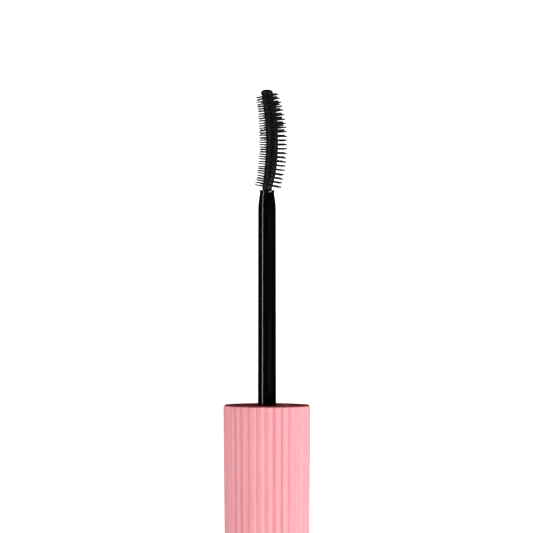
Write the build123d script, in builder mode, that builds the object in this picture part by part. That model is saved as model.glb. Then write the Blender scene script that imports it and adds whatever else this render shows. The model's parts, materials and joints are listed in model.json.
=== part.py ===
from build123d import *
import os
from math import asin, atan, cos, degrees, radians, sin, sqrt

os.makedirs("parts", exist_ok=True)

# A mascara, opened and lying on its side along X. The applicator (cap, rod and brush) is at -X with
# its brush pointing along +X. The tube is in line with it at +X, with its neck facing the brush.
# Sliding the applicator along +X puts the brush into the tube, and turning it closes the thread.

# Lengths along X
cap_length = 50.0  # closed end to mouth
wand_length = 72.5  # cap mouth to brush tip
rod_length = 49.4  # cap mouth to the rod's end
open_gap = 28.0  # brush tip to tube mouth
neck_length = 14.5  # tube mouth to shoulder
body_length = 78.0  # shoulder to base
closed_gap = 0.3  # cap mouth to shoulder once closed

# Fluted outside, shared by the cap and the tube
outer_radius = 10.0
flute_count = 32
rib_radius = 1.15
shell_bore_radius = 8.6
rim_round_depth = 0.22
rim_round_length = 0.45
end_round_depth = 1.0
end_round_length = 1.3
cap_end_scale = 0.952  # the cap tapers to this share of its mouth's width
cap_end_round_depth = 1.4
cap_end_round_length = 1.9
shell_end_wall = 1.8

# Screw thread, one start, right-handed
thread_pitch = 3.0
thread_turns = 2.5
thread_root_width = 1.3
thread_crest_width = 0.7
neck_root_radius = 6.5
neck_crest_radius = 7.1
liner_root_radius = 7.4
liner_crest_radius = 6.7
thread_inset = 2.3  # tube mouth to the first thread's middle
thread_embed = 0.2  # how far a thread's foot reaches into its wall

# Inner cap
flange_radius = 9.75
flange_thickness = 0.2
liner_mouth_radius = 8.2
liner_mouth_depth = 2.5
liner_floor_depth = 15.6
liner_floor_thickness = 1.6
liner_skirt_depth = 22.0
liner_skirt_radius = 7.7
socket_radius = 4.0
socket_depth = 26.0

# Rod
rod_radius = 2.07
rod_head_radius = 3.2
rod_head_thickness = 1.2
rod_waist_radius = 1.65
rod_waist_inset = 0.75
rod_lip_radius = 1.75
rod_lip_length = 0.35
rod_shoulder_length = 4.5

# Brush, curved in one plane that passes through the centreline
brush_turn = 2.4  # the plane's turn about the centreline, from level
shank_radius = 1.05
shank_length = 11.0  # inside the rod
shank_clearance = 0.2  # from the shank's end to the socket's floor
core_radius = 1.28
arch_inset = 0.4  # the rod's end to the start of the core's arc
core_bulge = 1.16
tip_radius = 1.4
tip_length = 1.35
tip_neck_radius = 1.15
tip_crown_height = 0.85
tip_neck_length = 0.5

# Bristles. Start and end are shares of the arch, and reach is measured from the core's centre.
bristle_root = 0.85  # from the core's centre to a bristle's foot, inside the core
coarse_bristle = {
    "count": 23,
    "start": 0.040,
    "end": 0.992,
    "foot_radius": 0.22,
    "point_radius": 0.17,
    "reach_at_rod": 3.05,
    "reach_in_middle": 3.48,
    "reach_at_tip": 2.55,
}
fine_bristle = {
    "count": 38,
    "start": 0.016,
    "end": 1.0,
    "foot_radius": 0.15,
    "point_radius": 0.10,
    "reach_at_rod": 3.0,
    "reach_in_middle": 3.05,
    "reach_at_tip": 2.75,
}
# Each row's turn about the core, from its outer side
coarse_rows = [34 * step for step in range(-2, 3)]
fine_rows = [180 + 27 * step for step in range(-3, 4)]

# Small pieces of the cap
weight_radius = 8.5
weight_length = 4.5
weight_chamfer = 0.4
washer_radius = 6.2
washer_bore_radius = 2.2
washer_thickness = 1.2
washer_edge_radius = 0.25
washer_clearance = 0.1

# Tube
bottle_radius = 8.55
bottle_bore_radius = 7.3
bottle_cone_start = 1.2  # from the shoulder, where the bore widens from the neck's to the body's
bottle_cone_end = 3.5
neck_bore_radius = 5.0
spigot_radius = 7.9
spigot_length = 1.8
wiper_flange_radius = 6.3
wiper_flange_thickness = 0.8
wiper_wall = 0.8
wiper_lead_in = 0.45
wiper_barrel_length = 7.0
wiper_cone_length = 4.0
wiper_lip_radius = 2.2
wiper_lip_thickness = 0.5
base_cap_thickness = 2.6
base_recess_radius = 7.2
base_recess_depth = 0.5
label_radius = 6.8
label_thickness = 0.15
bottle_floor_inset = 4.2  # base to the inside of the bottle's floor
bottle_floor_thickness = 1.3
well_radius = 4.95
well_clearance = 0.6  # brush tip to the well's end once closed
fill_start = 8.0  # shoulder to the mascara's surface

# Places along X
total_length = cap_length + wand_length + open_gap + neck_length + body_length
cap_end_x = -total_length / 2
cap_mouth_x = cap_end_x + cap_length
rod_end_x = cap_mouth_x + rod_length
brush_tip_x = cap_mouth_x + wand_length
tube_mouth_x = brush_tip_x + open_gap
shoulder_x = tube_mouth_x + neck_length
base_x = shoulder_x + body_length
slide_travel = shoulder_x - closed_gap - cap_mouth_x

# The flutes are arcs that meet in sharp grooves. A groove faces straight down, so the shell stands
# on the two ribs beside it.
flute_step = 360 / flute_count
rib_centre_radius = outer_radius - rib_radius
groove_radius = rib_centre_radius * cos(radians(flute_step / 2)) + sqrt(
    rib_radius**2 - (rib_centre_radius * sin(radians(flute_step / 2))) ** 2
)
axis_height = rib_centre_radius * cos(radians(flute_step / 2)) + rib_radius
centreline = Axis((0, 0, axis_height), (1, 0, 0))
lengthwise = Plane((0, 0, axis_height), x_dir=(1, 0, 0), z_dir=(0, -1, 0))


def crosswise(x):
    """The plane across the centreline at x, facing +X, with its own x along +Y."""
    return Plane((x, 0, axis_height), x_dir=(0, 1, 0), z_dir=(1, 0, 0))


def polar(radius, angle):
    return (radius * cos(radians(angle)), radius * sin(radians(angle)))


def fluted_section(x, scale=1.0):
    """The fluted outline, one arc for each rib."""
    with BuildSketch(crosswise(x)) as section:
        with BuildLine():
            for index in range(flute_count):
                groove = index * flute_step
                ThreePointArc(
                    polar(groove_radius * scale, groove),
                    polar(outer_radius * scale, groove + flute_step / 2),
                    polar(groove_radius * scale, groove + flute_step),
                )
        make_face()
    return section.sketch


def turning_profile(*points):
    """A closed outline of (x, radius) points, to revolve about the centreline."""
    with BuildSketch(lengthwise) as profile:
        with BuildLine():
            Polyline(*points, close=True)
        make_face()
    return profile.sketch


def rounded_envelope(start_x, start_round, end_x, end_round):
    """A turning profile whose two outer corners are eased, each by (depth, length)."""
    start_depth, start_length = start_round
    end_depth, end_length = end_round
    with BuildSketch(lengthwise) as profile:
        with BuildLine():
            start_arc = TangentArc(
                (start_x + start_length, outer_radius),
                (start_x, outer_radius - start_depth),
                tangent=(-1, 0),
            )
            end_arc = TangentArc(
                (end_x - end_length, outer_radius),
                (end_x, outer_radius - end_depth),
                tangent=(1, 0),
            )
            Line(start_arc @ 0, end_arc @ 0)
            Polyline(start_arc @ 1, (start_x, 0), (end_x, 0), end_arc @ 1)
        make_face()
    return profile.sketch


def thread_ridge(start_x, root_radius, crest_radius):
    """One helical ridge along +X. It stands outward if the crest is wider than the root."""
    outward = 1 if crest_radius > root_radius else -1
    height = abs(crest_radius - root_radius)
    with BuildPart() as ridge:
        with BuildLine() as path:
            Helix(
                pitch=thread_pitch,
                height=thread_pitch * thread_turns,
                radius=root_radius,
                center=(start_x, 0, axis_height),
                direction=(1, 0, 0),
            )
        start = path.line @ 0
        radial = (start - Vector(start_x, 0, axis_height)).normalized() * outward
        with BuildSketch(Plane(start, x_dir=radial, z_dir=path.line % 0)):
            with BuildLine():
                Polyline(
                    (-thread_embed, -thread_root_width / 2),
                    (height, -thread_crest_width / 2),
                    (height, thread_crest_width / 2),
                    (-thread_embed, thread_root_width / 2),
                    close=True,
                )
            make_face()
        sweep(path=path.line, is_frenet=True)
    return ridge.part


# The neck's thread, and the inner cap's, which sits half a pitch off it once the cap is closed
neck_thread_x = tube_mouth_x + thread_inset
liner_thread_x = neck_thread_x - slide_travel - thread_pitch / 2
neck_thread = thread_ridge(neck_thread_x, neck_root_radius, neck_crest_radius)
liner_thread = thread_ridge(liner_thread_x, liner_root_radius, liner_crest_radius)


# Cap shell: fluted and tapered outside, blind bore, and a rim that the inner cap's flange rests on
with BuildPart() as cap_shell:
    cap_rim_x = cap_mouth_x - flange_thickness
    loft([fluted_section(cap_end_x, cap_end_scale), fluted_section(cap_rim_x)], ruled=True)
    revolve(
        rounded_envelope(
            cap_end_x,
            (cap_end_round_depth, cap_end_round_length),
            cap_rim_x,
            (rim_round_depth, rim_round_length),
        ),
        axis=centreline,
        mode=Mode.INTERSECT,
    )
    with BuildSketch(crosswise(cap_end_x + shell_end_wall)):
        Circle(shell_bore_radius)
    extrude(amount=cap_length - shell_end_wall, mode=Mode.SUBTRACT)


# Inner cap: a thin flange over the shell's rim, a threaded well for the tube's neck, and a socket
# that grips the rod
with BuildPart() as cap_liner:
    floor_back = liner_floor_depth + liner_floor_thickness
    revolve(
        turning_profile(
            (cap_mouth_x, liner_mouth_radius),
            (cap_mouth_x, flange_radius),
            (cap_mouth_x - flange_thickness, flange_radius),
            (cap_mouth_x - flange_thickness, shell_bore_radius),
            (cap_mouth_x - liner_skirt_depth, shell_bore_radius),
            (cap_mouth_x - liner_skirt_depth, liner_skirt_radius),
            (cap_mouth_x - floor_back, liner_skirt_radius),
            (cap_mouth_x - floor_back, socket_radius),
            (cap_mouth_x - socket_depth, socket_radius),
            (cap_mouth_x - socket_depth, rod_radius),
            (cap_mouth_x - liner_floor_depth, rod_radius),
            (cap_mouth_x - liner_floor_depth, liner_root_radius),
            (cap_mouth_x - liner_mouth_depth, liner_root_radius),
            (cap_mouth_x - liner_mouth_depth, liner_mouth_radius),
        ),
        axis=centreline,
    )
    add(liner_thread)


# Cap weight: a steel slug pressed against the cap's closed end
with BuildPart() as cap_weight:
    with BuildSketch(crosswise(cap_end_x + shell_end_wall)):
        Circle(weight_radius)
    extrude(amount=weight_length)
    chamfer(cap_weight.edges().filter_by(GeomType.CIRCLE), length=weight_chamfer)


# Seal washer: loose on the rod, between the inner cap's floor and the tube's mouth
with BuildPart() as seal_washer:
    with BuildSketch(crosswise(cap_mouth_x - liner_floor_depth + washer_clearance)):
        Circle(washer_radius)
        Circle(washer_bore_radius, mode=Mode.SUBTRACT)
    extrude(amount=washer_thickness)
    fillet(seal_washer.edges().filter_by(GeomType.CIRCLE), radius=washer_edge_radius)


# Rod: headed at the cap's end, with a waisted shoulder, a lip and a blind socket at the brush's end
with BuildPart() as rod:
    head_x = cap_mouth_x - socket_depth
    lip_x = rod_end_x - rod_lip_length
    waist_x = rod_end_x - rod_waist_inset
    with BuildSketch(lengthwise):
        with BuildLine():
            shoulder = TangentArc(
                (rod_end_x - rod_shoulder_length, rod_radius),
                (waist_x, rod_waist_radius),
                tangent=(1, 0),
            )
            Polyline(
                shoulder @ 1,
                (lip_x, rod_lip_radius),
                (rod_end_x, rod_lip_radius),
                (rod_end_x, 0),
                (head_x - rod_head_thickness, 0),
                (head_x - rod_head_thickness, rod_head_radius),
                (head_x, rod_head_radius),
                (head_x, rod_radius),
                shoulder @ 0,
            )
        make_face()
    revolve(axis=centreline)
    with BuildSketch(crosswise(rod_end_x - shank_length)):
        Circle(shank_radius)
    extrude(amount=shank_length, mode=Mode.SUBTRACT)


# Brush: one soft moulding of a shank, an arched core, a rounded tip and rows of tapered bristles.
# The core is an arc that leaves the centreline just beyond the rod's end and meets it again at the
# tip. Coarse bristles stand on its outer side, to comb, and fine ones on its inner side.
arch_start_x = rod_end_x + arch_inset
arch_end_x = brush_tip_x - tip_length
arch_half_chord = (arch_end_x - arch_start_x) / 2
arch_radius = (arch_half_chord**2 + core_bulge**2) / (2 * core_bulge)
arch_half_angle = degrees(asin(arch_half_chord / arch_radius))
along = Vector(1, 0, 0)
outward = Vector(0, -cos(radians(brush_turn)), -sin(radians(brush_turn)))
sideways = along.cross(outward)
arch_centre = Vector((arch_start_x + arch_end_x) / 2, 0, axis_height) + outward * (core_bulge - arch_radius)


def arch_frame(share):
    """The core's centre, and its outward normal, at a share of the arch from the rod to the tip."""
    angle = radians(arch_half_angle * (2 * share - 1))
    normal = along * sin(angle) + outward * cos(angle)
    return arch_centre + normal * arch_radius, normal


def bristle(root_plane, length, kind):
    """One tapered bristle, six-sided, standing on its root plane."""
    with BuildPart() as spike:
        with BuildSketch(root_plane):
            RegularPolygon(kind["foot_radius"], side_count=6)
        extrude(amount=length, taper=degrees(atan((kind["foot_radius"] - kind["point_radius"]) / length)))
    return spike.part


def bristle_row(turn, kind):
    """One row of bristles along the arch, turned about the core from its outer side."""
    row = []
    for index in range(kind["count"]):
        share = kind["start"] + (kind["end"] - kind["start"]) * index / (kind["count"] - 1)
        centre, normal = arch_frame(share)
        tangent = normal.cross(sideways)
        direction = normal * cos(radians(turn)) + sideways * sin(radians(turn))
        span = 2 * share - 1
        end_reach = kind["reach_at_rod"] if span < 0 else kind["reach_at_tip"]
        reach = kind["reach_in_middle"] + (end_reach - kind["reach_in_middle"]) * span**2
        root_plane = Plane(centre + direction * bristle_root, x_dir=tangent, z_dir=direction)
        row.append(bristle(root_plane, reach - bristle_root, kind))
    return row


bristles = []
for turn in coarse_rows:
    bristles += bristle_row(turn, coarse_bristle)
for turn in fine_rows:
    bristles += bristle_row(turn, fine_bristle)

with BuildPart() as brush:
    arch_start, start_normal = arch_frame(0)
    with BuildSketch(Plane(arch_start, z_dir=start_normal.cross(sideways))):
        Circle(core_radius)
    revolve(axis=Axis(arch_centre, -sideways), revolution_arc=2 * arch_half_angle)
    with BuildSketch(crosswise(rod_end_x - shank_length + shank_clearance)):
        Circle(shank_radius)
    extrude(amount=shank_length - shank_clearance + 2 * arch_inset)
    with BuildSketch(lengthwise):
        with BuildLine():
            crown = EllipticalCenterArc(
                (brush_tip_x - tip_crown_height, 0),
                tip_crown_height,
                tip_radius,
                start_angle=0,
                arc_size=90,
            )
            under = TangentArc(crown @ 1, (arch_end_x, tip_neck_radius), tangent=(-1, 0))
            Polyline(
                under @ 1,
                (arch_end_x - tip_neck_length, tip_neck_radius),
                (arch_end_x - tip_neck_length, 0),
                crown @ 0,
            )
        make_face()
    revolve(axis=centreline)
    add(bristles)


# Tube sleeve: the fluted shell that stands at the cap's mouth once closed
with BuildPart() as tube_sleeve:
    extrude(fluted_section(shoulder_x), amount=body_length)
    revolve(
        rounded_envelope(
            shoulder_x,
            (rim_round_depth, rim_round_length),
            base_x,
            (end_round_depth, end_round_length),
        ),
        axis=centreline,
        mode=Mode.INTERSECT,
    )
    with BuildSketch(crosswise(shoulder_x)):
        Circle(shell_bore_radius)
    extrude(amount=body_length, mode=Mode.SUBTRACT)


# Inner bottle: holds the mascara, with a threaded neck and a spigot that centres the cap
bottle_floor_x = base_x - bottle_floor_inset
bottle_end_x = bottle_floor_x + bottle_floor_thickness
neck_rim_x = tube_mouth_x + wiper_flange_thickness
with BuildPart() as inner_bottle:
    revolve(
        turning_profile(
            (neck_rim_x, neck_bore_radius),
            (neck_rim_x, neck_root_radius),
            (shoulder_x - spigot_length, neck_root_radius),
            (shoulder_x - spigot_length, spigot_radius),
            (shoulder_x, spigot_radius),
            (shoulder_x, bottle_radius),
            (bottle_end_x, bottle_radius),
            (bottle_end_x, 0),
            (bottle_floor_x, 0),
            (bottle_floor_x, bottle_bore_radius),
            (shoulder_x + bottle_cone_end, bottle_bore_radius),
            (shoulder_x + bottle_cone_start, neck_bore_radius),
        ),
        axis=centreline,
    )
    add(neck_thread)


# Wiper: soft insert whose flange sits on the neck's rim and whose lip strips the rod
with BuildPart() as wiper:
    barrel_inner = neck_bore_radius - wiper_wall
    barrel_end_x = neck_rim_x + wiper_barrel_length
    lip_end_x = barrel_end_x + wiper_cone_length
    revolve(
        turning_profile(
            (tube_mouth_x, barrel_inner + wiper_lead_in),
            (tube_mouth_x, wiper_flange_radius),
            (neck_rim_x, wiper_flange_radius),
            (neck_rim_x, neck_bore_radius),
            (barrel_end_x, neck_bore_radius),
            (lip_end_x, wiper_lip_radius + wiper_lip_thickness),
            (lip_end_x, wiper_lip_radius),
            (barrel_end_x, barrel_inner),
            (tube_mouth_x + wiper_lead_in, barrel_inner),
        ),
        axis=centreline,
    )


# Mascara: the paste on the bottle's wall, around the well that the brush leaves in it
with BuildPart() as mascara_fill:
    well_end_x = brush_tip_x + slide_travel + well_clearance
    revolve(
        turning_profile(
            (shoulder_x + fill_start, well_radius),
            (shoulder_x + fill_start, bottle_bore_radius),
            (bottle_floor_x, bottle_bore_radius),
            (bottle_floor_x, 0),
            (well_end_x, 0),
            (well_end_x, well_radius),
        ),
        axis=centreline,
    )


# Base cap: closes the sleeve, with a foot ring around a shallow recess for the label
with BuildPart() as base_cap:
    with BuildSketch(crosswise(base_x - base_cap_thickness)):
        Circle(shell_bore_radius)
    extrude(amount=base_cap_thickness)
    with BuildSketch(crosswise(base_x - base_recess_depth)):
        Circle(base_recess_radius)
    extrude(amount=base_recess_depth, mode=Mode.SUBTRACT)


# Base label: a blank disc stuck in the recess
with BuildPart() as base_label:
    with BuildSketch(crosswise(base_x - base_recess_depth)):
        Circle(label_radius)
    extrude(amount=label_thickness)


pieces = {
    "cap_shell": cap_shell,
    "cap_liner": cap_liner,
    "cap_weight": cap_weight,
    "seal_washer": seal_washer,
    "rod": rod,
    "brush": brush,
    "tube_sleeve": tube_sleeve,
    "inner_bottle": inner_bottle,
    "wiper": wiper,
    "mascara_fill": mascara_fill,
    "base_cap": base_cap,
    "base_label": base_label,
}
for name, piece in pieces.items():
    piece.part.label = name
    export_step(piece.part, f"parts/{name}.step")
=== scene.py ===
import json
import random
from math import asin, cos, exp, log, pi, radians, sin, sqrt, tan

import bmesh
import bpy
from mathutils import Matrix, Vector

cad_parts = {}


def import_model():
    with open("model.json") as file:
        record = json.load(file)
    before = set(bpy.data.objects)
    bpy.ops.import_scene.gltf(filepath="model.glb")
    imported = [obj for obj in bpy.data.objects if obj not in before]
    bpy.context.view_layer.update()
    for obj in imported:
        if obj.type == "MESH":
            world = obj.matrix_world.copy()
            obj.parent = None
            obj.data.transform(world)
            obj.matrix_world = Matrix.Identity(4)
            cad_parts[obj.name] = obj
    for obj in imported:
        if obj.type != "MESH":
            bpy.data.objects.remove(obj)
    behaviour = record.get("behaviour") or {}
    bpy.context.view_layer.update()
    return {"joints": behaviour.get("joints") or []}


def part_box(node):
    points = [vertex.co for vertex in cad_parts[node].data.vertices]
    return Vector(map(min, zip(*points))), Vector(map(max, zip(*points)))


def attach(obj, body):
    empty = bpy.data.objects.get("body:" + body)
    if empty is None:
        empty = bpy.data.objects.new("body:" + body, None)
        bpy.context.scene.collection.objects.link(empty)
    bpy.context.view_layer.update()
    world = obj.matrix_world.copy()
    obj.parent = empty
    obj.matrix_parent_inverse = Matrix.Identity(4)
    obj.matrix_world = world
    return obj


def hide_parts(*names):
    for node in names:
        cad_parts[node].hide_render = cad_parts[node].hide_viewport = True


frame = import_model()
MM = 0.001

# ---------------------------------------------------------------- places, read from the CAD frame
cap_low, cap_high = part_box("cap_shell")
liner_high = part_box("cap_liner")[1]
rod_low, rod_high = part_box("rod")
brush_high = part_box("brush")[1]
sleeve_low, sleeve_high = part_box("tube_sleeve")
bottle_low, bottle_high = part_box("inner_bottle")
wiper_low, wiper_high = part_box("wiper")
washer_low, washer_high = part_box("seal_washer")
weight_low, weight_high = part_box("cap_weight")
fill_low, fill_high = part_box("mascara_fill")
base_low, base_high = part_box("base_cap")
label_low, label_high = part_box("base_label")

AXIS_Z = (rod_low[2] + rod_high[2]) / 2
CAP_END = cap_low[0]
CAP_RIM = cap_high[0]
CAP_MOUTH = liner_high[0]
ROD_END = rod_high[0]
BRUSH_TIP = brush_high[0]
TUBE_MOUTH = wiper_low[0]
SHOULDER = sleeve_low[0]
BASE = sleeve_high[0]
RIM_FACE = CAP_RIM + 0.06 * MM  # the shell's rim, a hair proud of the CAD's
FLANGE_FACE = CAP_MOUTH + 0.12 * MM  # the liner's flange, likewise
TRAVEL = next(j["range_m"][1] for j in frame["joints"] if j["name"] == "wand_slide")

# ---------------------------------------------------------------- sizes that several pieces share
OUTER_R = 10.03 * MM
FLUTES = 32
FLUTE_SAMPLES = 14  # points across each flute
FLUTE_FILL = 0.09 * MM  # how softly two ribs meet at the bottom of a groove
RIB_R = 1.15 * MM
RIB_CENTRE_R = OUTER_R - RIB_R
GROOVE_R = 9.60 * MM
CREST_R = 9.86 * MM
BORE_R = 8.6 * MM
PLUG_R = 8.59 * MM  # what is pressed into a shell's bore
BOTTLE_R = 8.55 * MM
NECK_ROOT_R = 6.5 * MM
LINER_ROOT_R = 7.4 * MM
NECK_BORE_R = 5.0 * MM
BOTTLE_BORE_R = 7.3 * MM
LABEL_R = 6.8 * MM
ROD_R = 2.13 * MM
THREAD_PITCH = 3.0 * MM
THREAD_TURNS = 2.5
NECK_THREAD_X = TUBE_MOUTH + 2.3 * MM
LINER_THREAD_X = NECK_THREAD_X - TRAVEL - THREAD_PITCH / 2
STATION = 0.1 * MM  # the spacing of the rings that shape a thread
CAP_TAPER = 0.96  # share of its radius that the cap loses per metre, from its rim to its closed end


# ---------------------------------------------------------------- mesh helpers
def smooth_step(low, high, value):
    share = min(max((value - low) / (high - low), 0.0), 1.0)
    return share * share * (3 - 2 * share)


def soft_min(a, b, reach):
    """The smaller of two lengths, eased over about `reach` where they meet."""
    gap = max(min((b - a) / reach, 40.0), -40.0)
    return b - reach * log(1 + exp(gap))


def outline(*corners, steps=4):
    """Turns corners of (x, radius, rounding) into points, each rounding worked as a small curve."""
    points = []
    count = len(corners)
    for index, (x, r, rounding) in enumerate(corners):
        here = Vector((x, r))
        before = Vector(corners[index - 1][:2]) - here
        after = Vector(corners[(index + 1) % count][:2]) - here
        if rounding <= 0 or before.length < 1e-9 or after.length < 1e-9:
            points.append((x, r))
            continue
        reach = min(rounding, 0.49 * before.length, 0.49 * after.length)
        start = here + before.normalized() * reach
        end = here + after.normalized() * reach
        for step in range(steps + 1):
            t = step / steps
            point = start * (1 - t) ** 2 + here * 2 * t * (1 - t) + end * t * t
            points.append((point.x, point.y))
    return points


def with_stations(points, low, high, spacing, radius):
    """Adds points along the runs of the given radius between low and high, for a thread to shape."""
    dense = []
    for index, (x, r) in enumerate(points):
        dense.append((x, r))
        next_x, next_r = points[(index + 1) % len(points)]
        level = abs(r - radius) < 1e-6 and abs(next_r - radius) < 1e-6
        if not level:
            continue
        count = max(int(abs(next_x - x) / spacing), 1)
        for step in range(1, count):
            station = x + (next_x - x) * step / count
            if low <= station <= high:
                dense.append((station, r))
    return dense


def turned(name, points, segments=96, radius_at=None, closed=True):
    """A surface turned about the centreline from (x, radius) points.

    A closed outline gives a ring. An open one starts and ends on the centreline. radius_at(x, radius,
    angle) may reshape each point, and the angle runs by the right-hand rule about +X, from +Z.
    """
    mesh = bmesh.new()
    rings = []
    for x, r in points:
        if r < 1e-7:
            rings.append([mesh.verts.new((x, 0, AXIS_Z))])
            continue
        ring = []
        for index in range(segments):
            angle = 2 * pi * index / segments
            radius = radius_at(x, r, angle) if radius_at else r
            ring.append(mesh.verts.new((x, -radius * sin(angle), AXIS_Z + radius * cos(angle))))
        rings.append(ring)
    pairs = list(zip(rings, rings[1:]))
    if closed:
        pairs.append((rings[-1], rings[0]))
    for first, second in pairs:
        for index in range(segments):
            after = (index + 1) % segments
            if len(first) == 1 and len(second) == 1:
                break
            if len(first) == 1:
                mesh.faces.new((first[0], second[index], second[after]))
            elif len(second) == 1:
                mesh.faces.new((first[index], second[0], first[after]))
            else:
                mesh.faces.new((first[index], second[index], second[after], first[after]))
    return finish_mesh(name, mesh)


def finish_mesh(name, mesh, sharp=40):
    bmesh.ops.recalc_face_normals(mesh, faces=mesh.faces)
    if mesh.calc_volume(signed=True) < 0:
        bmesh.ops.reverse_faces(mesh, faces=mesh.faces)
    data = bpy.data.meshes.new(name)
    mesh.to_mesh(data)
    mesh.free()
    data.shade_smooth()
    data.set_sharp_from_angle(angle=radians(sharp))
    piece = bpy.data.objects.new(name, data)
    bpy.context.scene.collection.objects.link(piece)
    return piece


def settle(piece, body, slot, *nodes):
    """Puts a piece on its body, in place of its CAD nodes. Its slot argument is not used."""
    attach(piece, body)
    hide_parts(*nodes)
    return piece


# ---------------------------------------------------------------- materials
def mixed(tree, factor, first, second):
    """A colour mix in a node tree. Each side is a socket or an (r, g, b) colour."""
    node = tree.nodes.new("ShaderNodeMix")
    node.data_type = "RGBA"
    tree.links.new(factor, node.inputs["Factor"])
    for socket, value in zip((node.inputs[6], node.inputs[7]), (first, second)):
        if isinstance(value, tuple):
            socket.default_value = (*value, 1.0)
        else:
            tree.links.new(value, socket)
    return node.outputs[2]


class Shader:
    """A Principled material with a few node helpers. Textures use the object's own metres."""

    def __init__(self, name):
        self.material = bpy.data.materials.new(name)
        self.material.use_nodes = True
        self.tree = self.material.node_tree
        self.bsdf = self.tree.nodes["Principled BSDF"]
        self.coordinates = self.tree.nodes.new("ShaderNodeTexCoord").outputs["Object"]

    def link(self, source, target):
        self.tree.links.new(source, target)

    def set(self, **values):
        for key, value in values.items():
            self.bsdf.inputs[key.replace("_", " ")].default_value = value

    def stretched(self, x, y, z):
        node = self.tree.nodes.new("ShaderNodeMapping")
        node.inputs["Scale"].default_value = (x, y, z)
        self.link(self.coordinates, node.inputs["Vector"])
        return node.outputs["Vector"]

    def noise(self, scale, detail=3.0, roughness=0.55, vector=None):
        node = self.tree.nodes.new("ShaderNodeTexNoise")
        node.inputs["Scale"].default_value = scale
        node.inputs["Detail"].default_value = detail
        node.inputs["Roughness"].default_value = roughness
        self.link(vector or self.coordinates, node.inputs["Vector"])
        return node.outputs["Fac"]

    def spots(self, scale):
        node = self.tree.nodes.new("ShaderNodeTexVoronoi")
        node.inputs["Scale"].default_value = scale
        self.link(self.coordinates, node.inputs["Vector"])
        return node.outputs["Distance"]

    def fit(self, value, low, high, to_low, to_high):
        node = self.tree.nodes.new("ShaderNodeMapRange")
        node.interpolation_type = "SMOOTHSTEP"
        sockets = ("From Min", "From Max", "To Min", "To Max")
        for socket, number in zip(sockets, (low, high, to_low, to_high)):
            node.inputs[socket].default_value = number
        self.link(value, node.inputs["Value"])
        return node.outputs["Result"]

    def maths(self, operation, first, second=None):
        node = self.tree.nodes.new("ShaderNodeMath")
        node.operation = operation
        for socket, value in zip(node.inputs, (first, second)):
            if value is None:
                continue
            if isinstance(value, (int, float)):
                socket.default_value = value
            else:
                self.link(value, socket)
        return node.outputs[0]

    def mix(self, factor, first, second):
        return mixed(self.tree, factor, first, second)

    def crest(self):
        """The distance from the centreline, freed of the cap's taper. It tells a rib from a groove."""
        split = self.tree.nodes.new("ShaderNodeSeparateXYZ")
        self.link(self.coordinates, split.inputs[0])
        back = self.maths("MAXIMUM", self.maths("SUBTRACT", CAP_RIM, split.outputs["X"]), 0.0)
        return self.maths("ADD", self.radius(), self.maths("MULTIPLY", back, CAP_TAPER * OUTER_R))

    def radius(self):
        """The distance from the centreline."""
        split = self.tree.nodes.new("ShaderNodeSeparateXYZ")
        self.link(self.coordinates, split.inputs[0])
        height = self.maths("SUBTRACT", split.outputs["Z"], AXIS_Z)
        square = self.maths("MULTIPLY", height, height)
        other = self.maths("MULTIPLY", split.outputs["Y"], split.outputs["Y"])
        return self.maths("SQRT", self.maths("ADD", square, other))

    def bump(self, *layers):
        """Each layer is (height, strength, distance in metres), stacked in order."""
        normal = None
        for height, strength, distance in layers:
            node = self.tree.nodes.new("ShaderNodeBump")
            node.inputs["Strength"].default_value = strength
            node.inputs["Distance"].default_value = distance
            self.link(height, node.inputs["Height"])
            if normal:
                self.link(normal, node.inputs["Normal"])
            normal = node.outputs["Normal"]
        self.link(normal, self.bsdf.inputs["Normal"])

    def colour(self, socket):
        self.link(socket, self.bsdf.inputs["Base Color"])

    def roughness(self, socket):
        self.link(socket, self.bsdf.inputs["Roughness"])


def shell_plastic():
    """Satin pink moulding: flow along its length, painted shade in the grooves, polished on the crests."""
    s = Shader("pink_shell")
    s.set(Specular_IOR_Level=0.95, Subsurface_Weight=0.22, Subsurface_Scale=0.6 * MM)
    s.set(Subsurface_Radius=(1.0, 0.45, 0.4), Coat_Weight=0.06, Coat_Roughness=0.3)
    s.set(Sheen_Weight=0.30, Sheen_Roughness=0.4)
    flow = s.noise(420, 4.0, 0.6, s.stretched(0.12, 1.0, 1.0))
    cloud = s.noise(90, 2.0)
    tone = s.mix(s.fit(flow, 0.3, 0.7, 0.0, 1.0), (0.865, 0.325, 0.365), (0.905, 0.360, 0.400))
    tone = s.mix(s.fit(cloud, 0.35, 0.65, 0.0, 0.35), tone, (0.89, 0.35, 0.38))
    crest = s.crest()
    # Painted shade: the base colour darkens and reddens towards the bottom of each groove, standing in for
    # the shade that falls there.
    painted_groove_shade = s.fit(crest, GROOVE_R, CREST_R, 0.18, 0.0)
    s.colour(s.mix(painted_groove_shade, tone, (0.85, 0.235, 0.28)))
    grain = s.noise(5200, 2.0)
    worn = s.fit(crest, 9.80 * MM, 10.0 * MM, 0.0, 0.07)
    s.roughness(s.maths("SUBTRACT", s.fit(s.noise(700, 3.0), 0.3, 0.7, 0.40, 0.50), worn))
    scratch = s.noise(900, 2.0, 0.6, s.stretched(0.05, 1.0, 1.0))
    s.bump((grain, 0.20, 0.012 * MM), (scratch, 0.12, 0.02 * MM))
    return s.material


def maroon_plastic():
    """Dark maroon inner mouldings, semi-gloss, with faint flow and a tool-mark grain."""
    s = Shader("maroon_moulding")
    s.set(Specular_IOR_Level=0.25, Subsurface_Weight=0.05, Subsurface_Scale=0.4 * MM)
    flow = s.noise(500, 4.0, 0.6, s.stretched(0.3, 1.0, 1.0))
    s.colour(s.mix(s.fit(flow, 0.3, 0.7, 0.0, 1.0), (0.170, 0.0190, 0.0230), (0.215, 0.0250, 0.0290)))
    s.roughness(s.fit(s.noise(800, 3.0), 0.3, 0.7, 0.28, 0.40))
    s.bump((s.noise(6000, 2.0), 0.2, 0.010 * MM), (flow, 0.15, 0.02 * MM))
    return s.material


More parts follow.
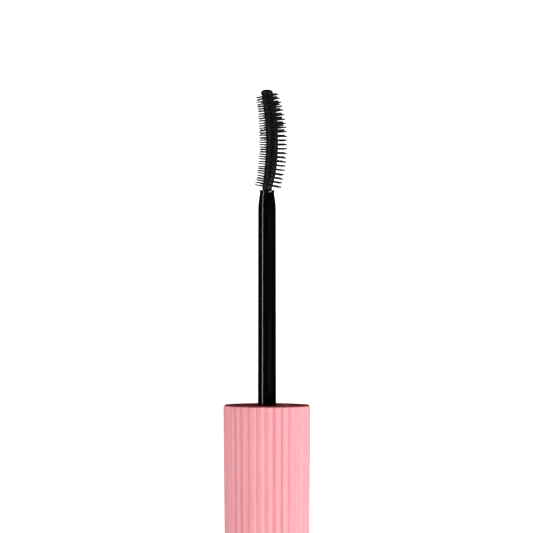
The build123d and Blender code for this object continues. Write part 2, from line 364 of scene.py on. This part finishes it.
def rod_plastic():
    """Polished black, with draw lines along its length and a few specks of dust."""
    s = Shader("rod_black")
    s.set(Specular_IOR_Level=0.5, Coat_Weight=0.25, Coat_Roughness=0.08)
    lines = s.noise(1500, 3.0, 0.6, s.stretched(0.02, 1.0, 1.0))
    speck = s.fit(s.spots(1100), 0.02, 0.07, 1.0, 0.0)
    tone = s.mix(s.fit(lines, 0.3, 0.7, 0.0, 1.0), (0.0006, 0.0006, 0.0007), (0.0012, 0.0012, 0.0013))
    s.colour(s.mix(s.maths("MULTIPLY", speck, 0.12), tone, (0.05, 0.05, 0.05)))
    s.roughness(s.fit(lines, 0.25, 0.75, 0.14, 0.22))
    s.bump((lines, 0.10, 0.010 * MM), (s.noise(4000, 2.0), 0.06, 0.006 * MM))
    return s.material


def brush_rubber():
    """Black soft moulding, dull with a slight sheen, a little greyer where it is rubbed."""
    s = Shader("brush_rubber")
    s.set(Specular_IOR_Level=0.4, Sheen_Weight=0.05, Sheen_Roughness=0.4)
    fine = s.noise(2600, 4.0, 0.6)
    s.colour(s.mix(s.fit(fine, 0.35, 0.7, 0.0, 1.0), (0.0025, 0.0025, 0.0027), (0.0075, 0.0073, 0.0073)))
    s.roughness(s.fit(s.noise(1500, 3.0), 0.3, 0.7, 0.34, 0.50))
    s.bump((fine, 0.25, 0.02 * MM), (s.noise(9000, 2.0), 0.2, 0.008 * MM))
    return s.material


def steel():
    """Turned steel: fine rings about the centreline, with small stains."""
    s = Shader("turned_steel")
    s.set(Metallic=1.0)
    rings = s.noise(60, 2.0, 0.6, s.stretched(60.0, 1.0, 1.0))
    stain = s.noise(350, 3.0)
    s.colour(s.mix(s.fit(stain, 0.4, 0.7, 0.0, 1.0), (0.56, 0.56, 0.57), (0.44, 0.43, 0.42)))
    s.roughness(s.fit(rings, 0.3, 0.7, 0.22, 0.38))
    s.bump((rings, 0.3, 0.02 * MM))
    return s.material


def foam_washer():
    """Off-white foamed polyethylene with fine open cells."""
    s = Shader("foam_washer")
    s.set(Specular_IOR_Level=0.3, Subsurface_Weight=0.2, Subsurface_Scale=0.5 * MM)
    cells = s.spots(3600)
    s.colour(s.mix(s.fit(cells, 0.1, 0.5, 0.0, 1.0), (0.55, 0.52, 0.48), (0.76, 0.74, 0.70)))
    s.roughness(s.fit(s.noise(900), 0.3, 0.7, 0.62, 0.78))
    s.bump((cells, 0.4, 0.03 * MM))
    return s.material


def wiper_rubber():
    """Soft black insert, satin, with a wet smear of mascara near its lip and on its flange."""
    s = Shader("wiper_rubber")
    s.set(Specular_IOR_Level=0.5)
    smear = s.fit(s.noise(420, 4.0, 0.65), 0.48, 0.58, 0.0, 1.0)
    near = s.fit(s.radius(), 4.3 * MM, 5.6 * MM, 1.0, 0.0)
    wet = s.maths("MULTIPLY", smear, near)
    s.colour(s.mix(wet, (0.020, 0.0195, 0.0195), (0.0018, 0.0017, 0.0020)))
    s.roughness(s.fit(wet, 0.0, 1.0, 0.48, 0.12))
    s.bump((wet, 0.5, 0.05 * MM), (s.noise(5000, 2.0), 0.25, 0.012 * MM))
    return s.material


def mascara_paste():
    """Wet black paste, lumpy where the brush has drawn through it."""
    s = Shader("mascara_paste")
    s.set(Specular_IOR_Level=0.6, Coat_Weight=0.5, Coat_Roughness=0.1)
    lumps = s.noise(700, 4.0, 0.6, s.stretched(0.4, 1.0, 1.0))
    s.colour(s.mix(s.fit(lumps, 0.3, 0.7, 0.0, 1.0), (0.0018, 0.0017, 0.0019), (0.006, 0.0055, 0.006)))
    s.roughness(s.fit(lumps, 0.3, 0.7, 0.16, 0.34))
    s.bump((lumps, 0.7, 0.12 * MM))
    return s.material


def label_paper():
    """Blank matt sticker: paper fibre, with a slightly handled edge."""
    s = Shader("label_paper")
    s.set(Specular_IOR_Level=0.35)
    fibre = s.noise(2400, 5.0, 0.7)
    edge = s.fit(s.radius(), LABEL_R - 1.2 * MM, LABEL_R, 0.0, 1.0)
    handled = s.maths("MULTIPLY", edge, s.noise(260, 3.0))
    tone = s.mix(s.fit(fibre, 0.3, 0.7, 0.0, 1.0), (0.82, 0.78, 0.76), (0.88, 0.85, 0.83))
    s.colour(s.mix(handled, tone, (0.66, 0.58, 0.56)))
    s.roughness(s.fit(fibre, 0.3, 0.7, 0.55, 0.7))
    s.bump((fibre, 0.3, 0.015 * MM))
    return s.material


# ---------------------------------------------------------------- fluted shells
def fluted_radius(angle):
    """The fluted outline's radius. A groove lies at angle 0, and its bottom is slightly filled."""
    step = 2 * pi / FLUTES
    local = (angle % step) - step / 2

    def rib(offset):
        reach = RIB_CENTRE_R * sin(offset)
        return RIB_CENTRE_R * cos(offset) + sqrt(max(RIB_R**2 - reach**2, 0.0))

    neighbour = rib(step - abs(local))
    own = rib(local)
    return own + FLUTE_FILL * log(1 + exp(max((neighbour - own) / FLUTE_FILL, -40.0)))


FLUTE_TABLE = [fluted_radius(2 * pi / FLUTES * (i / FLUTE_SAMPLES)) for i in range(FLUTE_SAMPLES)]


def shell_radius(x, radius, angle):
    """Ribs outside, plain inside. The outline's own radius limits the ribs near each end."""
    if radius < BORE_R + 0.1 * MM:
        return radius
    sample = round(angle / (2 * pi) * FLUTES * FLUTE_SAMPLES) % FLUTE_SAMPLES
    narrowed = 1 - CAP_TAPER * max(CAP_RIM - x, 0.0)
    return soft_min(FLUTE_TABLE[sample], radius, 0.03 * MM) * narrowed


def eased_end(x, inward, depth, length, steps=8):
    """Points that round a shell's outer edge, from just outside its ribs to its end face."""
    margin = 0.12 * MM
    points = []
    for step in range(steps + 1):
        turn = pi / 2 * step / steps
        radius = OUTER_R + margin * (1 - sin(turn)) - depth * (1 - cos(turn))
        points.append((x + inward * length * (1 - sin(turn)), radius))
    return points


def fluted_shell(name, rings, closed):
    return turned(name, rings, segments=FLUTES * FLUTE_SAMPLES, radius_at=shell_radius, closed=closed)


def straight(first, last, count):
    """The points between two ends of a straight run, without the ends."""
    (x, radius), (last_x, last_radius) = first, last
    shares = [index / count for index in range(1, count)]
    return [(x + (last_x - x) * share, radius + (last_radius - radius) * share) for share in shares]


END_ROUND = (1.0 * MM, 1.3 * MM)  # depth and length of the rounding at a closed end
RIM_ROUND = (0.22 * MM, 0.45 * MM)  # the same at the seam between cap and tube


def cap_shell():
    inner_end = CAP_END + 1.8 * MM
    corner = 0.3 * MM
    chamfer = 0.08 * MM
    end = eased_end(CAP_END, 1, *END_ROUND)
    rim = eased_end(RIM_FACE, -1, *RIM_ROUND)
    rings = [(CAP_END, 0.0), (CAP_END, 5.0 * MM), (CAP_END, 8.4 * MM)] + end[::-1]
    rings += straight(end[0], rim[0], 24) + rim
    rings += [(RIM_FACE, BORE_R + chamfer), (RIM_FACE - chamfer, BORE_R)]
    rings += [(inner_end + corner, BORE_R), (inner_end, BORE_R - corner), (inner_end, 0.0)]
    piece = fluted_shell("cap_shell_detail", rings, closed=False)
    return settle(piece, "applicator", "shell", "cap_shell")


def tube_sleeve():
    chamfer = 0.12 * MM
    front = eased_end(SHOULDER, 1, *RIM_ROUND)
    back = eased_end(BASE, -1, *END_ROUND)
    rings = front[::-1] + straight(front[0], back[0], 36) + back
    rings += [(BASE, BORE_R + 0.15 * MM), (BASE - chamfer, BORE_R)]
    rings += [(SHOULDER + chamfer, BORE_R), (SHOULDER, BORE_R + 0.1 * MM)]
    piece = fluted_shell("tube_sleeve_detail", rings, closed=True)
    return settle(piece, "tube", "shell", "tube_sleeve")


# ---------------------------------------------------------------- threaded pieces
THREAD_CREST = 0.60 * MM
THREAD_FOOT = 1.36 * MM
RUN_OUT = 0.125  # turns over which a thread fades at each end


def thread_height(x, angle, start, height):
    """How far the thread stands at a point, with both ends run out."""
    turns_here = angle / (2 * pi)
    whole = round((x - start) / THREAD_PITCH - turns_here)
    along = turns_here + whole
    if along < 0 or along > THREAD_TURNS:
        return 0.0
    off = abs(x - (start + THREAD_PITCH * along))
    run_out = smooth_step(0, RUN_OUT, along) * smooth_step(0, RUN_OUT, THREAD_TURNS - along)
    return height * run_out * (1 - smooth_step(THREAD_CREST / 2, THREAD_FOOT / 2, off))


def neck_radius(x, radius, angle):
    if abs(radius - NECK_ROOT_R) > 1e-6:
        return radius
    return radius + thread_height(x, angle, NECK_THREAD_X, 0.6 * MM)


def liner_radius(x, radius, angle):
    if abs(radius - LINER_ROOT_R) > 1e-6:
        return radius
    return radius - thread_height(x, angle, LINER_THREAD_X, 0.7 * MM)


SOCKET_END = CAP_MOUTH - 26.0 * MM  # where the liner's grip on the rod ends


def cap_liner():
    flange_r = 9.75 * MM
    mouth_r = 8.2 * MM
    skirt_r = 7.7 * MM
    socket_r = 4.0 * MM
    skirt_end = CAP_MOUTH - 22.0 * MM
    web_back = CAP_MOUTH - 17.2 * MM
    web_front = CAP_MOUTH - 15.6 * MM
    step = CAP_MOUTH - 2.5 * MM
    points = outline(
        (FLANGE_FACE, mouth_r, 0.35 * MM),
        (FLANGE_FACE, flange_r, 0.07 * MM),
        (RIM_FACE, flange_r, 0.04 * MM),
        (RIM_FACE, PLUG_R, 0.05 * MM),
        (skirt_end, PLUG_R, 0.2 * MM),
        (skirt_end, skirt_r, 0.2 * MM),
        (web_back, skirt_r, 0.4 * MM),
        (web_back, socket_r, 0.4 * MM),
        (SOCKET_END, socket_r, 0.2 * MM),
        (SOCKET_END, ROD_R, 0.1 * MM),
        (web_front, ROD_R, 0.2 * MM),
        (web_front, LINER_ROOT_R, 0.3 * MM),
        (step, LINER_ROOT_R, 0.15 * MM),
        (step, mouth_r, 0.2 * MM),
    )
    low = LINER_THREAD_X - THREAD_PITCH
    high = LINER_THREAD_X + THREAD_PITCH * (THREAD_TURNS + 1)
    points = with_stations(points, low, high, STATION, LINER_ROOT_R)
    piece = turned("cap_liner_detail", points, segments=160, radius_at=liner_radius)
    return settle(piece, "applicator", "inner_moulding", "cap_liner")


def inner_bottle():
    rim = bottle_low[0]
    collar = SHOULDER - 1.8 * MM
    collar_r = 7.9 * MM
    floor = BASE - 4.2 * MM
    points = outline(
        (rim, NECK_BORE_R, 0.1 * MM),
        (rim, NECK_ROOT_R, 0.25 * MM),
        (collar, NECK_ROOT_R, 0.35 * MM),
        (collar, collar_r, 0.3 * MM),
        (SHOULDER, collar_r, 0.12 * MM),
        (SHOULDER, BOTTLE_R, 0.15 * MM),
        (bottle_high[0], BOTTLE_R, 0.6 * MM),
        (bottle_high[0], 0.0, 0),
        (floor, 0.0, 0),
        (floor, BOTTLE_BORE_R, 0.8 * MM),
        (SHOULDER + 3.5 * MM, BOTTLE_BORE_R, 0.8 * MM),
        (SHOULDER + 1.2 * MM, NECK_BORE_R, 0.8 * MM),
    )
    low = NECK_THREAD_X - THREAD_PITCH
    high = NECK_THREAD_X + THREAD_PITCH * (THREAD_TURNS + 1)
    points = with_stations(points, low, high, STATION, NECK_ROOT_R)
    piece = turned("inner_bottle_detail", points, segments=160, radius_at=neck_radius)
    return settle(piece, "tube", "inner_moulding", "inner_bottle")


# ---------------------------------------------------------------- plain turned pieces
def rod():
    """From the hole for the brush's shank, over the lip and the waist, to the head in the cap."""
    waist = 0.75 * MM
    waist_r = 1.65 * MM
    swell = 3.9 * MM
    swell_r = 0.40 * MM
    swell_steps = 12
    head_r = 3.2 * MM
    head_end = SOCKET_END - 1.2 * MM
    edge = 0.1 * MM
    # The shank's hole and the lip, in mm: how far back from the rod's end, and the radius there.
    back_and_radius = [(11.0, 0.0), (11.0, 1.06), (0.08, 1.06), (0.0, 1.14), (0.0, 1.62), (0.04, 1.72)]
    back_and_radius += [(0.13, 1.76), (0.27, 1.75), (0.38, 1.69), (0.52, 1.645), (0.75, 1.65)]
    points = [(ROD_END - back * MM, radius * MM) for back, radius in back_and_radius]
    for step in range(1, swell_steps + 1):
        share = step / swell_steps
        points.append((ROD_END - waist - swell * share, waist_r + swell_r * sin(pi / 2 * share)))
    points += straight(points[-1], (SOCKET_END, ROD_R), 16)
    points += [(SOCKET_END + edge, ROD_R), (SOCKET_END, ROD_R + edge)]
    points += [(SOCKET_END, head_r - edge), (SOCKET_END - edge, head_r)]
    points += [(head_end + edge, head_r), (head_end, head_r - edge), (head_end, 0.0)]
    return settle(turned("rod_detail", points, closed=False), "applicator", "rod", "rod")


def seal_washer():
    hole_r = 2.2 * MM
    rim_r = 6.2 * MM
    points = outline(
        (washer_low[0], hole_r, 0.25 * MM),
        (washer_low[0], rim_r, 0.3 * MM),
        (washer_high[0], rim_r, 0.3 * MM),
        (washer_high[0], hole_r, 0.25 * MM),
    )
    return settle(turned("seal_washer_detail", points), "washer", "washer", "seal_washer")


def cap_weight():
    """A slug with a drill point in its front face."""
    slug_r = 8.5 * MM
    points = outline(
        (weight_low[0], 0.0, 0),
        (weight_low[0], slug_r, 0.4 * MM),
        (weight_high[0], slug_r, 0.4 * MM),
        (weight_high[0], 1.2 * MM, 0.2 * MM),
        (weight_high[0] - 0.9 * MM, 0.0, 0),
    )
    return settle(turned("cap_weight_detail", points, closed=False), "applicator", "steel", "cap_weight")


def wiper():
    """A flange on the neck's rim, a barrel in the neck and a cone down to the lip."""
    barrel_r = 4.2 * MM
    flange_r = 6.3 * MM
    lip_r = 2.2 * MM
    lip_wall = 0.5 * MM
    chamfer = 0.45 * MM
    rim = bottle_low[0]
    cone = rim + 7.0 * MM
    lip = wiper_high[0]
    points = outline(
        (TUBE_MOUTH, barrel_r + chamfer, 0.2 * MM),
        (TUBE_MOUTH, flange_r, 0.3 * MM),
        (rim, flange_r, 0.1 * MM),
        (rim, NECK_BORE_R, 0.1 * MM),
        (cone, NECK_BORE_R, 0.5 * MM),
        (lip, lip_r + lip_wall, 0.2 * MM),
        (lip, lip_r, 0.15 * MM),
        (cone, barrel_r, 0.6 * MM),
        (TUBE_MOUTH + chamfer, barrel_r, 0.3 * MM),
    )
    return settle(turned("wiper_detail", points), "tube", "wiper", "wiper")


def mascara_fill():
    """The paste, with the ridges that the bristles have combed into its well."""
    well_r = 4.95 * MM
    wall_r = 7.27 * MM
    brink_r = 5.3 * MM
    corner = 0.6 * MM
    stations = 104
    spacing = 0.6 * MM
    ridge = 0.10 * MM
    surface = fill_low[0]
    end = fill_high[0] - 0.05 * MM
    well_end = fill_high[0] - 1.2 * MM
    points = [(end, 0.0), (end, wall_r - corner), (end - corner, wall_r)]
    points += [(surface + 0.5 * MM, wall_r), (surface, 6.2 * MM), (surface + 0.3 * MM, brink_r)]
    points += [(surface + 1.0 * MM + spacing * index, well_r) for index in range(stations)]
    points += [(well_end, well_r - 0.4 * MM), (well_end, 0.0)]

    def combed(x, radius, angle):
        if radius > brink_r + 0.1 * MM:
            return radius
        wave = sin(angle * 9 + x / MM * 0.35) * sin(x / MM * 2.1 + angle * 2)
        return radius + max(0.0, ridge * wave)

    piece = turned("mascara_fill_detail", points, radius_at=combed, closed=False)
    return settle(piece, "tube", "mascara", "mascara_fill")


def base_cap():
    """A plug with a foot ring round the label's recess."""
    recess_r = 7.2 * MM
    recess = base_high[0] - 0.5 * MM
    points = outline(
        (base_low[0], 0.0, 0),
        (base_low[0], PLUG_R, 0.3 * MM),
        (base_high[0], PLUG_R, 0.12 * MM),
        (base_high[0], recess_r, 0.15 * MM),
        (recess, recess_r, 0.08 * MM),
        (recess, 0.0, 0),
    )
    return settle(turned("base_cap_detail", points, closed=False), "tube", "base_cap", "base_cap")


def base_label():
    points = outline(
        (label_low[0], 0.0, 0),
        (label_low[0], LABEL_R, 0),
        (label_high[0], LABEL_R, 0.05 * MM),
        (label_high[0], 0.0, 0),
    )
    return settle(turned("base_label_detail", points, closed=False), "tube", "label", "base_label")


# ---------------------------------------------------------------- brush
BRUSH_TURN = radians(2.4)
ALONG = Vector((1, 0, 0))
OUTWARD = Vector((0, -cos(BRUSH_TURN), -sin(BRUSH_TURN)))
SIDEWAYS = ALONG.cross(OUTWARD)
CORE_R = 1.38 * MM
SHANK_R = 1.10 * MM
SHANK_IN_ROD_R = 1.04 * MM
BRISTLE_ROOT = 0.80 * MM  # how far from the core's centre a bristle starts, inside the core
ARCH_START = ROD_END + 0.4 * MM
ARCH_END = BRUSH_TIP - 1.35 * MM
BULGE = 1.16 * MM
HALF_CHORD = (ARCH_END - ARCH_START) / 2
ARCH_R = (HALF_CHORD**2 + BULGE**2) / (2 * BULGE)
HALF_ANGLE = asin(HALF_CHORD / ARCH_R)
ARCH_CENTRE = Vector(((ARCH_START + ARCH_END) / 2, 0, AXIS_Z)) + OUTWARD * (BULGE - ARCH_R)


def arch_frame(share):
    """The core's centre and outward normal, at a share of the arch from the rod to the tip."""
    angle = HALF_ANGLE * (2 * share - 1)
    normal = ALONG * sin(angle) + OUTWARD * cos(angle)
    return ARCH_CENTRE + normal * ARCH_R, normal


def loft(mesh, rings):
    """Joins rings of points into one closed surface, capped at both ends by a fan."""
    built = [[mesh.verts.new(point) for point in ring] for ring in rings]
    for first, second in zip(built, built[1:]):
        for index in range(len(first)):
            after = (index + 1) % len(first)
            mesh.faces.new((first[index], first[after], second[after], second[index]))
    for ring, facing in ((built[0], -1), (built[-1], 1)):
        centre = mesh.verts.new(sum((v.co for v in ring), Vector()) / len(ring))
        for index in range(len(ring)):
            after = (index + 1) % len(ring)
            corners = (ring[index], ring[after], centre)
            mesh.faces.new(corners if facing > 0 else corners[::-1])


def circle(centre, first, second, radius, sides):
    points = []
    for index in range(sides):
        angle = 2 * pi * index / sides
        points.append(centre + first * radius * cos(angle) + second * radius * sin(angle))
    return points


# The domed tip, in mm: how far back from the brush's end, and the radius there.
TIP_OUTLINE = (
    (1.30, 1.18), (1.20, 1.25), (1.10, 1.33), (0.98, 1.40), (0.84, 1.43), (0.70, 1.42), (0.55, 1.37),
    (0.40, 1.28), (0.27, 1.16), (0.16, 1.00), (0.07, 0.80), (0.01, 0.52), (-0.02, 0.22),
)


def core_rings(sides=40, arch_steps=44):
    """The shank, the arched core and the domed tip, as one run of rings."""

    def upright(x, radius):
        return circle(Vector((x, 0, AXIS_Z)), OUTWARD, -SIDEWAYS, radius, sides)

    rings = [
        upright(ROD_END - 10.8 * MM, SHANK_IN_ROD_R),
        upright(ROD_END - 0.5 * MM, SHANK_IN_ROD_R),
        upright(ROD_END + 0.02 * MM, SHANK_R),
    ]
    for index in range(arch_steps + 1):
        share = index / arch_steps
        centre, normal = arch_frame(share)
        ease = smooth_step(-0.06, 0.26, share) * smooth_step(-0.25, 0.25, 1 - share)
        rings.append(circle(centre, normal, -SIDEWAYS, SHANK_R + (CORE_R - SHANK_R) * ease, sides))
    rings += [upright(BRUSH_TIP - back * MM, radius * MM) for back, radius in TIP_OUTLINE]
    return rings


SHAFT_END = 0.93  # the share of a bristle where its round tip begins
# A bristle's outline: shares of its length, and radii as shares of the way from point to foot.
SHAFT = ((0.0, 1.45), (0.10, 1.30), (0.18, 1.10), (0.28, 1.0), (0.5, 0.78), (0.75, 0.5), (SHAFT_END, 0.28))


def bristle_rings(root, direction, across, length, foot, point, bend, sides=8):
    """One bristle: a flared foot in the core, a tapering shaft with a slight bend, a round tip."""
    other = direction.cross(across)
    rings = []
    for share, weight in SHAFT:
        radius = point + (foot - point) * weight
        offset = bend * share * share
        rings.append(circle(root + direction * length * share + offset, across, other, radius, sides))
    tip_radius = point + (foot - point) * 0.25
    for turn in (0.35, 0.7, 1.0, 1.3):
        centre = root + direction * (length * SHAFT_END + tip_radius * sin(turn)) + bend
        rings.append(circle(centre, across, other, tip_radius * cos(turn), sides))
    return rings


LENGTH_SPREAD = 0.008
BEND_SPREAD = 0.035 * MM


def bristle_row(mesh, dice, turn, kind, drift=0.0):
    """One row of bristles. Past the arch's middle, drift moves it off its neighbours, in pitches."""
    first, last = kind["start"], kind["end"]
    pitch = (last - first) / (kind["count"] - 1)
    for index in range(kind["count"]):
        share = first + (last - first) * index / (kind["count"] - 1)
        share = min(share + drift * pitch * smooth_step(0.5, 0.62, share), 1.0)
        centre, normal = arch_frame(share)
        tangent = normal.cross(SIDEWAYS)
        lean = radians(dice.gauss(0, kind["unrest"]))
        twist = turn + radians(dice.gauss(0, kind["unrest"]))
        direction = normal * cos(twist) + SIDEWAYS * sin(twist)
        direction = (direction + tangent * tan(lean)).normalized()
        span = 2 * share - 1
        end_reach = kind["reach_at_rod"] if span < 0 else kind["reach_at_tip"]
        reach = kind["reach_in_middle"] + (end_reach - kind["reach_in_middle"]) * abs(span) ** 2.2
        length = reach * (1 + dice.gauss(0, LENGTH_SPREAD)) - BRISTLE_ROOT
        bend = tangent * dice.gauss(0, BEND_SPREAD)
        across = direction.cross(tangent).normalized()
        root = centre + direction * BRISTLE_ROOT
        loft(mesh, bristle_rings(root, direction, across, length, kind["foot"], kind["point"], bend))


# Start and end are shares of the arch, foot and point are radii, unrest is in degrees.
COARSE = {
    "count": 23, "start": 0.040, "end": 0.992, "foot": 0.235 * MM, "point": 0.185 * MM, "unrest": 0.9,
    "reach_at_rod": 3.05 * MM, "reach_in_middle": 3.50 * MM, "reach_at_tip": 2.55 * MM,
}
FINE = {
    "count": 38, "start": 0.016, "end": 1.0, "foot": 0.150 * MM, "point": 0.105 * MM, "unrest": 1.2,
    "reach_at_rod": 3.0 * MM, "reach_in_middle": 3.05 * MM, "reach_at_tip": 2.75 * MM,
}
COARSE_STEP = 34  # degrees between rows
FINE_STEP = 27
DRIFTING_ROW = 1
ROW_DRIFT = 0.5
SEED = 7


def brush():
    """Core and bristles, joined into one surface. Coarse rows stand outward, fine rows inward."""
    dice = random.Random(SEED)
    mesh = bmesh.new()
    loft(mesh, core_rings())
    core = finish_mesh("brush_detail", mesh, sharp=60)
    mesh = bmesh.new()
    for step in range(-2, 3):
        drift = ROW_DRIFT if step == DRIFTING_ROW else 0.0
        bristle_row(mesh, dice, radians(COARSE_STEP * step), COARSE, drift)
    for step in range(-3, 4):
        bristle_row(mesh, dice, radians(180 + FINE_STEP * step), FINE)
    bristles = finish_mesh("bristles_cutter", mesh, sharp=60)
    join = core.modifiers.new("join", "BOOLEAN")
    join.operation = "UNION"
    join.solver = "MANIFOLD"
    join.object = bristles
    bpy.context.view_layer.update()
    evaluated = core.evaluated_get(bpy.context.evaluated_depsgraph_get())
    merged = bpy.data.meshes.new_from_object(evaluated)
    core.modifiers.clear()
    core.data = merged
    core.data.shade_smooth()
    core.data.set_sharp_from_angle(angle=radians(60))
    bpy.data.objects.remove(bristles)
    return settle(core, "applicator", "brush", "brush")


# ---------------------------------------------------------------- build every piece
def paint(piece, material):
    piece.data.materials.clear()
    piece.data.materials.append(material)


pink = shell_plastic()
maroon = maroon_plastic()
paint(cap_shell(), pink)
paint(tube_sleeve(), pink)
paint(base_cap(), pink)
paint(cap_liner(), maroon)
paint(inner_bottle(), maroon)
paint(rod(), rod_plastic())
paint(brush(), brush_rubber())
paint(seal_washer(), foam_washer())
paint(cap_weight(), steel())
paint(wiper(), wiper_rubber())
paint(mascara_fill(), mascara_paste())
paint(base_label(), label_paper())


# ---------------------------------------------------------------- floor, light and camera
VIEW_TILT = radians(3.3)
VIEW_DISTANCE = 0.750
VIEW_WIDTH = 0.12243  # what the camera takes in across the centreline
VIEW_AHEAD = 31.86 * MM  # from the cap's mouth to the middle of the view, towards the brush
VIEW_ASIDE = 0.12 * MM  # from the centreline to the middle of the view


def floor():
    """White paper. It glows for the camera, and hardly shows in reflections."""
    half = 3.0
    glow = 0.75
    data = bpy.data.meshes.new("floor")
    corners = [(-half, -half, 0), (half, -half, 0), (half, half, 0), (-half, half, 0)]
    data.from_pydata(corners, [], [(0, 1, 2, 3)])
    plane = bpy.data.objects.new("floor", data)
    bpy.context.scene.collection.objects.link(plane)
    s = Shader("floor_paper")
    s.set(Specular_IOR_Level=0.0, Roughness=0.9)
    s.bsdf.inputs["Emission Color"].default_value = (1, 1, 1, 1)
    path = s.tree.nodes.new("ShaderNodeLightPath")
    s.link(s.maths("MULTIPLY", path.outputs["Is Camera Ray"], glow), s.bsdf.inputs["Emission Strength"])
    paper = s.mix(s.fit(s.noise(60, 3.0), 0.3, 0.7, 0.0, 1.0), (0.86, 0.86, 0.86), (0.88, 0.88, 0.88))
    s.colour(s.mix(path.outputs["Is Glossy Ray"], paper, (0.01, 0.01, 0.01)))
    paint(plane, s.material)


def softbox(name, azimuth, elevation, distance, width, height, power, glossy=True):
    """An area light aimed at the view's middle. Azimuth 0 is towards -Y, 90 towards +X."""
    target = Vector((CAP_MOUTH + VIEW_AHEAD, 0, AXIS_Z))
    data = bpy.data.lights.new(name, "AREA")
    data.shape = "RECTANGLE"
    data.size = width
    data.size_y = height
    data.energy = power
    light = bpy.data.objects.new(name, data)
    a, e = radians(azimuth), radians(elevation)
    light.location = target + Vector((sin(a) * cos(e), -cos(a) * cos(e), sin(e))) * distance
    light.rotation_euler = (light.location - target).to_track_quat("Z", "Y").to_euler()
    light.visible_camera = False
    light.visible_glossy = glossy
    bpy.context.scene.collection.objects.link(light)


def world():
    """White to the camera, a soft grey to matt surfaces and nearly black in reflections."""
    white = (1, 1, 1)
    grey = (0.22, 0.22, 0.22)
    nearly_black = (0.004, 0.004, 0.004)
    sky = bpy.data.worlds.new("studio")
    sky.use_nodes = True
    tree = sky.node_tree
    path = tree.nodes.new("ShaderNodeLightPath")
    unseen = mixed(tree, path.outputs["Is Glossy Ray"], grey, nearly_black)
    colour = mixed(tree, path.outputs["Is Camera Ray"], unseen, white)
    tree.links.new(colour, tree.nodes["Background"].inputs["Color"])
    bpy.context.scene.world = sky


def camera():
    data = bpy.data.cameras.new("camera")
    data.sensor_width = 36
    data.lens = data.sensor_width * VIEW_DISTANCE / VIEW_WIDTH
    data.clip_start = 0.01
    back = Vector((0, -sin(VIEW_TILT), cos(VIEW_TILT)))
    up = Vector((1, 0, 0))
    right = up.cross(back)
    target = Vector((CAP_MOUTH + VIEW_AHEAD, VIEW_ASIDE, AXIS_Z))
    place = Matrix((right, up, back)).transposed().to_4x4()
    place.translation = target + back * VIEW_DISTANCE
    lens = bpy.data.objects.new("camera", data)
    lens.matrix_world = place
    bpy.context.scene.collection.objects.link(lens)
    bpy.context.scene.camera = lens


floor()
world()
softbox("front_fill", 0, 52, distance=0.9, width=1.3, height=1.3, power=7.2, glossy=False)
softbox("right_key", -32, 30, distance=0.9, width=0.2, height=0.9, power=5.0)
softbox("left_fill", 180, 8, distance=0.8, width=0.7, height=0.4, power=2.2, glossy=False)
softbox("end_fill", 90, 25, distance=0.9, width=0.6, height=0.6, power=1.5, glossy=False)
softbox("left_strip", 180, 33, distance=0.8, width=0.9, height=0.045, power=2.0)
camera()
bpy.context.scene.view_settings.view_transform = "Standard"
